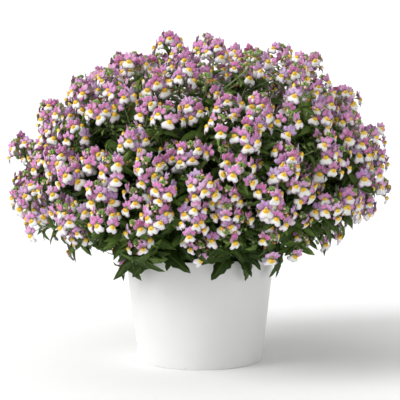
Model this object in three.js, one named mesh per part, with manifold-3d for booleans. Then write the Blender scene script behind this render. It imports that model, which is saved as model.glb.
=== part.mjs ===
// A nemesia in full flower, grown as a round bush in a plain white tapered pot.
// Millimetres, +Z up, origin at the middle of the pot's flat foot.
//
// Twelve branching leafy stems stand in holes in the soil, with short leafy shoots beside the wall that
// hang over the rim. Each branch ends in a spray, which forks into a stalk for each flower head.
// A stem, shoot or spray is one closed skin: a tube of a few sides, with each branch, leaf or floret
// drawn out of one facet.
import * as THREE from "three";
import { mergeVertices } from "three/addons/utils/BufferGeometryUtils.js";
import Module from "manifold-3d";

const wasm = await Module();
wasm.setup();

// Pot
const POT_TOP_R = 90;
const POT_FOOT_R = 75;
const POT_HEIGHT = 130;
const POT_WALL = 2.4;
const POT_FLOOR = 4;
const POT_SIDES = 36;
const POT_EDGE = 0.8;
const DRAIN_HOLES = 5;
const DRAIN_RING_R = 44;
const DRAIN_R = 5;
const DRAIN_SIDES = 8;

// Soil, lumpy by two waves of these lengths, with a hole for each stem
const SOIL_TOP_Z = 114;
const SOIL_SIDES = 18;
const SOIL_RING_SHARES = [0.96, 0.64, 0.32];
const SOIL_LUMP = 1.4;
const SOIL_WAVE = 52;
const SOIL_RIPPLE = 21;
const SEAT_GAP = 0.3;
const HOLE_DEPTH = 14;
const HOLE_SIDES = 4;

// Dome that the flower heads end on: its widest level, and how far it rises above and hangs below that
const DOME_R = 230;
const DOME_MID_Z = 213;
const DOME_RISE = 184;
const DOME_SKIRT = 100;
const DOME_END = THREE.MathUtils.degToRad(134);
const SCATTER = 0.2;
const HEAD_SCATTER = 0.5;
const HEAD_SINK = 24;

// Numbers of each
const STEMS = 12;
const SHOOTS = 8;
const SPRAYS = 28;
const HEADS = 76;
const FLORETS = 3;

// A way from the soil to a flower head sets off upwards and outwards by these shares of its length, and
// arrives along the head by the third
const WAY_RISE = 0.34;
const WAY_OUT = 0.12;
const WAY_ARRIVE = 0.16;

// Shares of that way at which each thing happens
const TRUNK_LEAVES_AT = [0.22];
const STEM_FORKS_AT = 0.34;
const BRANCH_LEAVES_AT = [0.48, 0.59, 0.7];
const SPRAY_AT = 0.75;
const STEM_FORK_SPACING = 0.045;
const SPRAY_FORKS_AT = 0.775;
const SPRAY_FORK_SPACING = 0.034;

// Stems. Their feet stand between the two radii, the ones with the lowest heads outermost.
const CROWN_MIN_R = 5;
const CROWN_R = 52;
const TRUNK_R = 2.6;
const BRANCH_R = 2;
const NODE_STEP = 3.2;
const STEM_FORK = 5;
const STEM_SIDES = 4;
const BOWS = [0, 3, 6, 10];

// Short shoots beside the wall, which carry large leaves over the rim. The path is in steps [out, up].
const SHOOT_RING_R = 70;
const SHOOT_SCATTER = 0.3;
const SHOOT_LEAVES_AT = [0.45, 0.72, 0.95];
const SHOOT_PATH = [[0, 0], [0, 16], [8, 24], [30, 34]];

// Flower heads: a slim raceme with its florets low on it and a green bud on top
const STALK_R = 1.8;
const PEDUNCLE_R = 1.4;
const BUD_R = 3.8;
const RACEME = 22;
const FLORET_SPAN = 5;
const BUD_AT = 12;
const SPRAY_SIDES = 3;
const SPRAY_FORK = 2.6;
const HEAD_BEND = 7;

// Leaves, ribbed below. An outline is a list of [share of the length, share of the half-width], toothed.
const RIB = 1.1;
const LEAF_OUTLINE = [[0.34, 1], [0.56, 0.62], [0.64, 0.78]];
const LEAF_LENGTHS = [0.85, 1.15];
const LEAF_LIFT = [0.5, 0.8];
const LEAF_DROOP = [0.7, 1.3];
const STEM_LEAF = { length: 54, width: 17 };
const RIM_LEAF = { length: 54, width: 18 };

// Florets, larger than life so that three to a head still cover the bush. A pedicel is lifted towards the
// tip of its head, and the floret on it leans towards the light outside the bush and a little upwards.
const FLORET_SCALE = 2.1;
const FLORET_DEPTH = 1.6;
const FLORET_TO_LIGHT = 0.5;
const FLORET_UPWARDS = 0.15;
const PEDICEL = 10;
const PEDICEL_LENGTHS = [0.8, 1.2];
const PEDICEL_R = 0.9;
const PEDICEL_LIFT = 0.6;

// Half of a floret's outline from the front, from the notch of the lip to the notch between the top lobes
const FLORET_HALF = [
  [0, -8.2, 3.2],
  [5.6, -7.4, 2.4],
  [4.2, -1.2, 0.8],
  [8, 2.2, -0.4],
  [4.6, 4.6, -0.2],
  [4.4, 9.8, -1.2],
  [0, 6.4, -0.4],
];
const LIP_CORNER = 2;
const TOP_NOTCH = 6;
const PALATE = [0, -1, 4.4];

const UP = new THREE.Vector3(0, 0, 1);
const GOLDEN_ANGLE = Math.PI * (3 - Math.sqrt(5));
const TURN = 2 * Math.PI;

// Seeded draw of numbers from 0 to 1 (mulberry32)
function numbers(seed) {
  let state = seed >>> 0;
  return () => {
    state = (state + 0x6d2b79f5) >>> 0;
    let t = state;
    t = Math.imul(t ^ (t >>> 15), t | 1);
    t ^= t + Math.imul(t ^ (t >>> 7), t | 61);
    return ((t ^ (t >>> 14)) >>> 0) / 4294967296;
  };
}

const vec = (x, y, z) => new THREE.Vector3(x, y, z);

// start + a * direction a + b * direction b ...
function offset(start, ...terms) {
  const made = start.clone();
  for (let i = 0; i < terms.length; i += 2) made.addScaledVector(terms[i + 1], terms[i]);
  return made;
}

const blend = (...terms) => offset(vec(0, 0, 0), ...terms).normalize();

const mean = (points) => points.reduce((sum, p) => sum.add(p), vec(0, 0, 0)).divideScalar(points.length);

const outward = (angle) => vec(Math.cos(angle), Math.sin(angle), 0);

const twoDigits = (i) => String(i + 1).padStart(2, "0");

// Closed skins

const rotated = (ring, first) => ring.map((_, i) => ring[(i + first) % ring.length]);

// The directions of a ring's points from its middle
function spokes(ring) {
  const middle = mean(ring);
  return ring.map((p) => blend(1, p, -1, middle));
}

// Where a ring starts so that the wall from the last ring twists least
function startOf(ring, last) {
  const [own, others] = [spokes(ring), spokes(last)];
  const likeness = (first) => rotated(own, first).reduce((sum, spoke, i) => sum + spoke.dot(others[i]), 0);
  return ring.map((_, i) => i).sort((a, b) => likeness(b) - likeness(a))[0];
}

const FLAT = 1e-3;

class Skin {
  points = [];
  faces = [];

  ring(vectors) {
    return vectors.map((v) => this.points.push(v) - 1);
  }

  // A ring of point numbers, started so that the wall to the given points twists least
  facing(ring, vectors) {
    return rotated(ring, startOf(ring.map((i) => this.points[i]), vectors));
  }

  face(a, b, c) {
    this.faces.push(a, b, c);
  }

  closeStart(ring) {
    for (let i = 1; i < ring.length - 1; i++) this.face(ring[0], ring[i + 1], ring[i]);
  }

  closeEnd(ring) {
    for (let i = 1; i < ring.length - 1; i++) this.face(ring[0], ring[i], ring[i + 1]);
  }

  closeTip(ring, tip) {
    const [end] = this.ring([tip]);
    ring.forEach((a, i) => this.face(a, ring[(i + 1) % ring.length], end));
  }

  // A quad, split so that it bulges, which keeps a twisted wall from crossing itself
  quad(a, b, c, d) {
    const [pa, pb, pc, pd] = [a, b, c, d].map((number) => this.points[number]);
    const plane = new THREE.Plane().setFromCoplanarPoints(pa, pb, pc);
    const bulges = plane.distanceToPoint(pd) < FLAT;
    const faces = bulges ? [[a, b, c], [a, c, d]] : [[a, b, d], [b, c, d]];
    faces.forEach((face) => this.face(...face));
  }

  wall(low, high) {
    low.forEach((a, i) => {
      const next = (i + 1) % low.length;
      this.quad(a, low[next], high[next], high[i]);
    });
  }

  geometry() {
    const made = new THREE.BufferGeometry();
    const places = this.points.flatMap((p) => [p.x, p.y, p.z]);
    made.setAttribute("position", new THREE.Float32BufferAttribute(places, 3));
    made.setIndex(this.faces);
    return made;
  }
}

function solidOf(geometry) {
  const bare = geometry.clone();
  bare.deleteAttribute("normal");
  bare.deleteAttribute("uv");
  const merged = mergeVertices(bare, 1e-4);
  const vertProperties = merged.attributes.position.array;
  const triVerts = new Uint32Array(merged.index.array);
  return new wasm.Manifold(new wasm.Mesh({ numProp: 3, vertProperties, triVerts }));
}

function geometryOf(solid) {
  const mesh = solid.getMesh();
  const made = new THREE.BufferGeometry();
  made.setAttribute("position", new THREE.Float32BufferAttribute(mesh.vertProperties, 3));
  made.setIndex(new THREE.Uint32BufferAttribute(mesh.triVerts, 1));
  return made;
}

// What already stands, each part as a small solid, so that whatever grows next can be kept clear of it
const TOUCHING = 1e-7;
const standing = [];

const stand = (solid) => standing.push({ solid, box: solid.boundingBox() });

function isClear(solid) {
  const { min, max } = solid.boundingBox();
  const near = ({ box }) => [0, 1, 2].every((i) => min[i] < box.max[i] && max[i] > box.min[i]);
  return !standing.some((other) => near(other) && solid.intersect(other.solid).volume() > TOUCHING);
}

// Tubes

// Points round centre, counter-clockwise as seen from where the tube is going. One side faces aside.
function ringAt(centre, along, aside, sides, radius) {
  const x = offset(aside, -aside.dot(along), along).normalize();
  const y = along.clone().cross(x);
  return Array.from({ length: sides }, (_, i) => {
    const angle = ((i + 0.5) * TURN) / sides;
    return offset(centre, radius * Math.cos(angle), x, radius * Math.sin(angle), y);
  });
}

// A tube through rings of points, from its foot or from the root facet of the tube that it grows out of.
// growth holds what grows out of each side of each segment: from the whole side or its upper triangle.
class Tube {
  growth = new Map();
  tip = null;

  constructor(root = null) {
    this.rings = root ? [root] : [];
  }

  add(centre, along, aside, sides, radius) {
    const ring = ringAt(centre, along, aside, sides, radius);
    const last = this.rings.at(-1);
    this.rings.push(last ? rotated(ring, startOf(ring, last)) : ring);
  }

  side(segment, number) {
    const [low, high] = [this.rings[segment], this.rings[segment + 1]];
    const next = (number + 1) % low.length;
    const corners = [low[number], low[next], high[next], high[number]];
    return { corners, out: offset(mean(corners), -1, mean([...low, ...high])).normalize() };
  }

  // Sides of a segment with nothing on them, the one that faces most nearly towards first
  freeSides(segment, towards) {
    const facing = (number) => this.side(segment, number).out.dot(towards);
    const all = this.rings[segment].map((_, i) => i);
    const free = all.filter((i) => !this.growth.has(`${segment}/${i}`));
    return free.sort((a, b) => facing(b) - facing(a));
  }

  along(segment) {
    return offset(mean(this.rings[segment + 1]), -1, mean(this.rings[segment])).normalize();
  }

  solids() {
    const made = [];
    for (let i = 0; i < this.rings.length - 1; i++) {
      const part = new Skin();
      const [low, high] = [part.ring(this.rings[i]), part.ring(this.rings[i + 1])];
      part.closeStart(low);
      part.wall(low, high);
      part.closeEnd(high);
      made.push(solidOf(part.geometry()));
    }
    if (this.tip) {
      const end = new Skin();
      const ring = end.ring(this.rings.at(-1));
      end.closeStart(ring);
      end.closeTip(ring, this.tip);
      made.push(solidOf(end.geometry()));
    }
    return made;
  }

  skin(skin, root = null) {
    let low = root ?? skin.ring(this.rings[0]);
    if (!root) skin.closeStart(low);
    this.rings.slice(1).forEach((vectors, segment) => {
      const high = skin.ring(vectors);
      low.forEach((a, number) => {
        const [b, c, d] = [low[(number + 1) % low.length], high[(number + 1) % low.length], high[number]];
        const grown = this.growth.get(`${segment}/${number}`);
        if (!grown) {
          skin.quad(a, b, c, d);
        } else if (grown.whole) {
          grown.skin(skin, [a, b, c, d]);
        } else {
          skin.face(a, b, c);
          grown.skin(skin, [a, c, d]);
        }
      });
      low = high;
    });
    if (this.tip) skin.closeTip(low, this.tip);
    else skin.closeEnd(low);
  }
}

const upperTriangle = (corners) => [corners[0], corners[2], corners[3]];

// Grows one tube out of another: from the first free side, and with the least bow, that keep it clear
function branchOff(parent, segment, towards, whole, build) {
  for (const number of parent.freeSides(segment, towards)) {
    const { corners, out } = parent.side(segment, number);
    for (const bow of BOWS) {
      const tube = new Tube(whole ? corners : upperTriangle(corners));
      build(tube, offset(vec(0, 0, 0), bow, out));
      const solids = tube.solids();
      if (!solids.every(isClear)) continue;
      solids.forEach(stand);
      parent.growth.set(`${segment}/${number}`, { whole, skin: (skin, root) => tube.skin(skin, root) });
      return tube;
    }
  }
  return null;
}

// Grows a leaf or a floret out of a side, in the first of the ways that keep it clear, if there is one
function growOn(tube, segment, number, make, ways) {
  const { corners, out } = tube.side(segment, number);
  for (const way of ways) {
    const grown = make(upperTriangle(corners), out, way);
    const alone = new Skin();
    const root = alone.ring(upperTriangle(corners));
    alone.closeStart(root);
    grown(alone, root);
    const solid = solidOf(alone.geometry());
    if (!isClear(solid)) continue;
    stand(solid);
    tube.growth.set(`${segment}/${number}`, { skin: grown });
    return;
  }
}

// Leaves

const LEAF_STEPS = 12;
const LEAF_TURNS = [0, 0.35, -0.35, 0.7, -0.7, 1.05, -1.05];
const LEAF_WAYS = LEAF_TURNS.map((turn) => ({ turn, size: 1 - Math.abs(turn) / 5 }));
const NEARLY_UPRIGHT = 0.2;

// A lanceolate leaf: flat above and ribbed below. It sets off between out and along, then droops.
function leaf(root, out, along, { length, width, lift, droop }, { turn, size }) {
  const setOff = blend(Math.cos(lift), out, Math.sin(lift), along).applyAxisAngle(UP, turn);
  const level = vec(setOff.x, setOff.y, 0);
  if (level.length() < NEARLY_UPRIGHT) level.set(out.x, out.y, 0);
  level.normalize();
  const across = UP.clone().cross(level);
  const rise = Math.asin(THREE.MathUtils.clamp(setOff.z, -1, 1));
  const step = (length * size) / LEAF_STEPS;
  const line = [mean(root)];
  for (let i = 0; i < LEAF_STEPS; i++) {
    const angle = rise - (droop * (i + 0.5)) / LEAF_STEPS;
    line.push(offset(line.at(-1), Math.cos(angle) * step, level, Math.sin(angle) * step, UP));
  }
  return (skin, base) => {
    let low = base;
    for (const [share, wide] of LEAF_OUTLINE) {
      const angle = rise - droop * share;
      const above = offset(vec(0, 0, 0), -Math.sin(angle), level, Math.cos(angle), UP);
      const middle = line[Math.round(share * LEAF_STEPS)];
      const half = (wide * width * size) / 2;
      const vectors = [
        offset(middle, -RIB * (1 - share / 2), above),
        offset(middle, half, across),
        offset(middle, -half, across),
      ];
      const high = skin.ring(vectors);
      skin.wall(low === base ? skin.facing(base, vectors) : low, high);
      low = high;
    }
    skin.closeTip(low, line.at(-1));
  };
}

// Florets

const FLORET_OUTLINE = [
  ...FLORET_HALF,
  ...FLORET_HALF.slice(1, -1).reverse().map(([x, y, z]) => [-x, y, z]),
];
const FLORET_WAYS = [
  { turn: 0, size: 1, longer: 0 },
  { turn: 0.4, size: 1, longer: 0 },
  { turn: -0.4, size: 1, longer: 0 },
  { turn: 0, size: 1, longer: 5 },
  { turn: 0, size: 0.85, longer: 0 },
  { turn: 0.6, size: 0.9, longer: 4 },
  { turn: -0.6, size: 0.9, longer: 4 },
  { turn: 0, size: 0.8, longer: 7 },
  { turn: 0.8, size: 0.75, longer: 0 },
  { turn: -0.8, size: 0.75, longer: 0 },
  { turn: 0, size: 0.65, longer: 0 },
];

// A floret on its pedicel: four upper lobes, a two-lobed lip and the raised palate in its throat
function floret(root, facing, rise, reach, size) {
  const scale = FLORET_SCALE * size;
  const top = offset(UP, -UP.dot(facing), facing).normalize();
  const right = top.clone().cross(facing);
  const neck = offset(mean(root), reach, rise);
  const place = ([x, y, z]) =>
    offset(neck, x * scale, right, y * scale, top, (z + FLORET_DEPTH) * scale, facing);
  return (skin, base) => {
    const vectors = [
      offset(neck, -PEDICEL_R, top),
      offset(neck, PEDICEL_R, right, PEDICEL_R / 2, top),
      offset(neck, -PEDICEL_R, right, PEDICEL_R / 2, top),
    ];
    const low = skin.ring(vectors);
    skin.wall(skin.facing(base, vectors), low);
    const edge = skin.ring(FLORET_OUTLINE.map(place));
    const [below, onRight, onLeft] = low;
    const otherCorner = edge.length - LIP_CORNER;
    edge.forEach((a, i) => {
      const isLip = i < LIP_CORNER || i >= otherCorner;
      const back = isLip ? below : i < TOP_NOTCH ? onRight : onLeft;
      skin.face(back, edge[(i + 1) % edge.length], a);
    });
    skin.face(below, onRight, edge[LIP_CORNER]);
    skin.face(onRight, onLeft, edge[TOP_NOTCH]);
    skin.face(onLeft, below, edge[otherCorner]);
    skin.closeTip(edge, place(PALATE));
  };
}

// Where everything grows

// Directions spread evenly over the dome by the golden angle, from its top to its lower edge
function spread(count) {
  return Array.from({ length: count }, (_, i) => {
    const cosine = 1 - ((1 - Math.cos(DOME_END)) * (i + 0.5)) / count;
    const sine = Math.sqrt(1 - cosine * cosine);
    return offset(vec(0, 0, cosine), sine, outward(i * GOLDEN_ANGLE));
  });
}

function nearest(direction, choices) {
  const likeness = (i) => direction.dot(choices[i]);
  return choices.map((_, i) => i).sort((a, b) => likeness(b) - likeness(a))[0];
}

function domePoint(direction) {
  const rise = direction.z > 0 ? DOME_RISE : DOME_SKIRT;
  return vec(direction.x * DOME_R, direction.y * DOME_R, DOME_MID_Z + direction.z * rise);
}

const draw = numbers(5);
const between = ([low, high]) => low + (high - low) * draw();
const sprayDirections = spread(SPRAYS);
const stemDirections = spread(STEMS);

const heads = spread(HEADS).map((even) => {
  const scatter = vec(draw() - 0.5, draw() - 0.5, draw() - 0.5);
  const direction = blend(1, even, SCATTER, scatter);
  const axis = blend(1, direction, 1, UP, HEAD_SCATTER, scatter);
  const tip = offset(domePoint(direction), -HEAD_SINK * draw(), direction);
  return { direction, axis, tip, base: offset(tip, -RACEME, axis), twist: draw() - 0.5 };
});

const sprays = sprayDirections.map((direction, i) => ({
  stem: nearest(direction, stemDirections),
  heads: heads.filter((head) => nearest(head.direction, sprayDirections) === i),
}));

// A stem's foot is nearer to the rim the lower its heads are
const stems = stemDirections.map((_, i) => {
  const own = sprays.filter((spray) => spray.stem === i && spray.heads.length);
  const towards = mean(own.flatMap((spray) => spray.heads.map((head) => head.direction))).normalize();
  const out = vec(towards.x, towards.y, 0).normalize();
  const crownR = THREE.MathUtils.lerp(CROWN_MIN_R, CROWN_R, Math.acos(towards.z) / DOME_END);
  return { sprays: own, out, foot: offset(vec(0, 0, SOIL_TOP_Z), crownR, out) };
});

// Each head's way from the foot of its stem: up out of the soil, then over towards its place on the dome
for (const stem of stems) {
  for (const head of stem.sprays.flatMap((spray) => spray.heads)) {
    const far = head.base.distanceTo(stem.foot);
    const way = new THREE.CubicBezierCurve3(
      stem.foot,
      offset(stem.foot, far * WAY_RISE + HOLE_DEPTH, UP, far * WAY_OUT, stem.out),
      offset(head.base, far * -WAY_ARRIVE, head.axis),
      head.base,
    );
    head.way = (s) => way.getPoint(s);
  }
}

const wayOf = (group) => (s) => mean(group.map((head) => head.way(s)));

// A way that leaves one way at share a and has joined another at share b
const leaving = (from, to, a, b) => (s) => from(s).lerp(to(s), THREE.MathUtils.smoothstep(s, a, b));

function headingAt(way, s) {
  const step = 0.01;
  return blend(1, way(Math.min(1, s + step)), -1, way(Math.max(0, s - step)));
}

// Adds rings along a way. With a step, each is a pair that far apart, for what grows between them.
function follow(tube, way, aside, shares, sides, radius, step = 0, shift = vec(0, 0, 0)) {
  for (const s of shares) {
    const heading = headingAt(way, s);
    const centre = way(s).add(shift);
    tube.add(centre, heading, aside, sides, radius);
    if (step) tube.add(offset(centre, step, heading), heading, aside, sides, radius);
  }
}

// Shares at which a stem with this many branches forks
const forkShares = (branches, first, spacing) =>
  Array.from({ length: branches - 1 }, (_, i) => first + spacing * i);

// Pot, one turned wall with drain holes in its floor

function turned(profile, sides) {
  const made = new THREE.LatheGeometry(profile.map(([r, z]) => new THREE.Vector2(r, z)), sides);
  return made.rotateX(Math.PI / 2);
}

const potRadius = (z) => POT_FOOT_R + ((POT_TOP_R - POT_FOOT_R) * z) / POT_HEIGHT;
const potInside = (z) => potRadius(z) - POT_WALL;

function pot() {
  let made = solidOf(
    turned(
      [
        [0, 0],
        [POT_FOOT_R - POT_EDGE, 0],
        [potRadius(POT_EDGE), POT_EDGE],
        [potRadius(POT_HEIGHT - POT_EDGE), POT_HEIGHT - POT_EDGE],
        [POT_TOP_R - POT_EDGE, POT_HEIGHT],
        [potInside(POT_HEIGHT), POT_HEIGHT],
        [potInside(POT_FLOOR), POT_FLOOR],
        [0, POT_FLOOR],
      ],
      POT_SIDES,
    ),
  );
  for (let i = 0; i < DRAIN_HOLES; i++) {
    const hole = new THREE.CylinderGeometry(DRAIN_R, DRAIN_R, 3 * POT_FLOOR, DRAIN_SIDES);
    const { x, y } = outward((i * TURN) / DRAIN_HOLES).multiplyScalar(DRAIN_RING_R);
    made = made.subtract(solidOf(hole.rotateX(Math.PI / 2).translate(x, y, 0)));
  }
  return made;
}

// Soil, filling the pot to below its rim

function lump(x, y) {
  const [wave, ripple] = [TURN / SOIL_WAVE, TURN / SOIL_RIPPLE];
  return Math.sin(x * wave) * Math.cos(y * wave) + Math.sin((x + y) * ripple) / 2;
}

function soil(plants) {
  const edge = (z) => potInside(z) - SEAT_GAP;
  const low = POT_FLOOR + SEAT_GAP;
  const bed = turned(
    [
      [0, low],
      [edge(low), low],
      [edge(SOIL_TOP_Z), SOIL_TOP_Z],
      ...SOIL_RING_SHARES.map((share) => [edge(SOIL_TOP_Z) * share, SOIL_TOP_Z + 1.5 * SOIL_LUMP]),
      [0, SOIL_TOP_Z + 1.5 * SOIL_LUMP],
    ],
    SOIL_SIDES,
  );
  const places = bed.getAttribute("position");
  for (let i = 0; i < places.count; i++) {
    const z = places.getZ(i);
    if (z > SOIL_TOP_Z) places.setZ(i, z + SOIL_LUMP * lump(places.getX(i), places.getY(i)));
  }
  let made = solidOf(bed);
  for (const { foot, radius } of plants) {
    const around = radius / Math.cos(Math.PI / HOLE_SIDES) + SEAT_GAP;
    const hole = new THREE.CylinderGeometry(around, around, 2 * HOLE_DEPTH, HOLE_SIDES);
    made = made.subtract(solidOf(hole.rotateX(Math.PI / 2).translate(foot.x, foot.y, SOIL_TOP_Z)));
  }
  return made;
}

// Shoots beside the wall

const shoots = Array.from({ length: SHOOTS }, (_, i) => {
  const out = outward(((i + 0.5) * TURN) / SHOOTS + SHOOT_SCATTER * (draw() - 0.5));
  const foot = offset(vec(0, 0, SOIL_TOP_Z), SHOOT_RING_R, out);
  const path = new THREE.CubicBezierCurve3(...SHOOT_PATH.map(([far, up]) => offset(foot, far, out, up, UP)));
  return { out, foot, way: (s) => path.getPoint(s) };
});

const potSolid = pot();
const soilSolid = soil([
  ...stems.map(({ foot }) => ({ foot, radius: TRUNK_R })),
  ...shoots.map(({ foot }) => ({ foot, radius: BRANCH_R })),
]);
stand(potSolid);
stand(soilSolid);

function plantIn(foot, aside, radius) {
  const tube = new Tube();
  for (const z of [SEAT_GAP - HOLE_DEPTH, NODE_STEP]) {
    tube.add(offset(foot, z, UP), UP, aside, STEM_SIDES, radius);
  }
  return tube;
}

// The numbers of the segments that carry leaves, from the first one on: every other one
const leafSegments = (first, count) => Array.from({ length: count }, (_, i) => first + 2 * i);

for (const shoot of shoots) {
  const aside = UP.clone().cross(shoot.out);
  const tube = plantIn(shoot.foot, aside, BRANCH_R);
  follow(tube, shoot.way, aside, SHOOT_LEAVES_AT, STEM_SIDES, BRANCH_R, NODE_STEP);
  tube.tip = offset(mean(tube.rings.at(-1)), BRANCH_R * 2, headingAt(shoot.way, 1));
  tube.solids().forEach(stand);
  shoot.tube = tube;
}

// Stems. The trunk goes on as its first branch, and the other branches grow from its sides.
for (const stem of stems) {
  const aside = UP.clone().cross(stem.out);
  const middle = wayOf(stem.sprays.flatMap((spray) => spray.heads));
  for (const spray of stem.sprays) {
    spray.branchWay = leaving(middle, wayOf(spray.heads), STEM_FORKS_AT, SPRAY_AT);
  }
  const grow = (tube, way, shift) => {
    follow(tube, way, aside, BRANCH_LEAVES_AT, STEM_SIDES, BRANCH_R, NODE_STEP, shift);
    follow(tube, way, aside, [SPRAY_AT], STEM_SIDES, BRANCH_R);
  };
  const forks = forkShares(stem.sprays.length, STEM_FORKS_AT, STEM_FORK_SPACING);
  const trunk = plantIn(stem.foot, aside, TRUNK_R);
  follow(trunk, middle, aside, TRUNK_LEAVES_AT, STEM_SIDES, TRUNK_R, NODE_STEP);
  follow(trunk, middle, aside, forks, STEM_SIDES, TRUNK_R, STEM_FORK);
  const pairs = BRANCH_LEAVES_AT.length;
  const forkSegment = 2 + 2 * TRUNK_LEAVES_AT.length;
  const branchSegment = forkSegment + 2 * forks.length;
  grow(trunk, stem.sprays[0].branchWay);
  trunk.solids().forEach(stand);
  stem.trunk = trunk;
  stem.sprays[0].tube = trunk;
  stem.sprays[0].leafSegments = [
    ...leafSegments(2, TRUNK_LEAVES_AT.length),
    ...leafSegments(branchSegment, pairs),
  ];
  stem.sprays.slice(1).forEach((spray, i) => {
    const towards = blend(1, spray.branchWay(BRANCH_LEAVES_AT[0]), -1, middle(forks[i]));
    const build = (tube, shift) => grow(tube, spray.branchWay, shift);
    spray.tube = branchOff(trunk, forkSegment + 2 * i, towards, true, build);
    spray.leafSegments = leafSegments(1, pairs);
  });
}

// Sprays. The stalk goes on as the stalk of its first head, and the others grow from its sides.
for (const spray of sprays.filter(({ tube }) => tube)) {
  const aside = UP.clone().cross(stems[spray.stem].out);
  const middle = wayOf(spray.heads);
  const forks = forkShares(spray.heads.length, SPRAY_FORKS_AT, SPRAY_FORK_SPACING);
  const ahead = headingAt(middle, SPRAY_AT);
  const alignment = (head) => blend(1, head.base, -1, middle(SPRAY_AT)).dot(ahead);
  spray.heads.sort((a, b) => alignment(a) - alignment(b));
  spray.heads.unshift(spray.heads.pop());
  const stalk = new Tube();
  const heading = headingAt(spray.branchWay, SPRAY_AT);
  const foot = offset(mean(spray.tube.rings.at(-1)), SEAT_GAP, heading);
  stalk.add(foot, heading, aside, SPRAY_SIDES, STALK_R);
  follow(stalk, middle, aside, forks, SPRAY_SIDES, STALK_R, SPRAY_FORK);
  const top = (tube, head) => {
    const facing = head.direction.clone().applyAxisAngle(head.axis, head.twist);
    const bend = offset(head.base, -HEAD_BEND, head.axis);
    const arriving = blend(1, bend, -1, mean(tube.rings.at(-1)));
    tube.add(bend, blend(1, arriving, 1, head.axis), facing, SPRAY_SIDES, PEDUNCLE_R);
    for (const [far, radius] of [[0, PEDUNCLE_R], [FLORET_SPAN, PEDUNCLE_R], [BUD_AT, BUD_R]]) {
      tube.add(offset(head.base, far, head.axis), head.axis, facing, SPRAY_SIDES, radius);
    }
    tube.tip = head.tip;
    head.tube = tube;
  };
  top(stalk, spray.heads[0]);
  stalk.solids().forEach(stand);
  spray.stalk = stalk;
  spray.heads.slice(1).forEach((head, i) => {
    const towards = blend(1, head.base, -1, middle(forks[i]));
    head.tube = branchOff(stalk, 1 + 2 * i, towards, false, (made) => top(made, head));
  });
}

// Florets, one from each side of a raceme. One that would face along its pedicel's side is turned outwards.
for (const head of heads.filter(({ tube }) => tube)) {
  const segment = head.tube.rings.length - 3;
  for (let number = 0; number < FLORETS; number++) {
    const reach = PEDICEL * between(PEDICEL_LENGTHS);
    const make = (root, out, { turn, size, longer }) => {
      const rise = blend(1, out, PEDICEL_LIFT, head.axis);
      const open = blend(1, out, FLORET_TO_LIGHT, head.direction, FLORET_UPWARDS, head.axis);
      const turned = open.applyAxisAngle(head.axis, turn);
      const facing = blend(1, turned, Math.max(0, 1.2 - 1.6 * turned.dot(rise)), rise);
      return floret(root, facing, rise, reach + longer, size);
    };
    growOn(head.tube, segment, number, make, FLORET_WAYS);
  }
}

// Leaves, in pairs that cross from one node of a stem to the next
function growLeaves(tube, segments, kind) {
  segments.forEach((segment, i) => {
    for (const number of [i % 2, (i % 2) + 2]) {
      const length = kind.length * between(LEAF_LENGTHS);
      const form = { ...kind, length, lift: between(LEAF_LIFT), droop: between(LEAF_DROOP) };
      const make = (root, out, way) => leaf(root, out, tube.along(segment), form, way);
      growOn(tube, segment, number, make, LEAF_WAYS);
    }
  });
}

for (const { tube } of shoots) growLeaves(tube, leafSegments(2, SHOOT_LEAVES_AT.length), RIM_LEAF);
for (const spray of stems.flatMap((stem) => stem.sprays)) {
  if (spray.tube) growLeaves(spray.tube, spray.leafSegments, STEM_LEAF);
}

// The finished plant

function named(name, geometry, color, roughness) {
  const flat = geometry.toNonIndexed();
  flat.computeVertexNormals();
  const material = new THREE.MeshStandardMaterial({ color, roughness, metalness: 0 });
  const mesh = new THREE.Mesh(flat, material);
  mesh.name = name;
  return mesh;
}

function skinned(name, tube, color, roughness) {
  const skin = new Skin();
  tube.skin(skin);
  return named(name, skin.geometry(), color, roughness);
}

const plant = new THREE.Group();
plant.add(named("pot", geometryOf(potSolid), 0xeeeeec, 0.45));
plant.add(named("soil", geometryOf(soilSolid), 0x3b2c20, 0.95));
shoots.forEach(({ tube }, i) => {
  plant.add(skinned(`rim_shoot_${twoDigits(i)}`, tube, 0x2c4a26, 0.55));
});
stems.forEach(({ trunk }, i) => {
  plant.add(skinned(`stem_${twoDigits(i)}`, trunk, 0x3f5a2b, 0.6));
});
sprays.forEach(({ stalk }, i) => {
  if (stalk) plant.add(skinned(`spray_${twoDigits(i)}`, stalk, 0xc983b6, 0.7));
});

export default plant;
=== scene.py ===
# A nemesia in full flower, grown as a round bush in a plain white tapered pot.
import math
import random

import bmesh
import bpy
from mathutils import Matrix, Quaternion, Vector, noise


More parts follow.
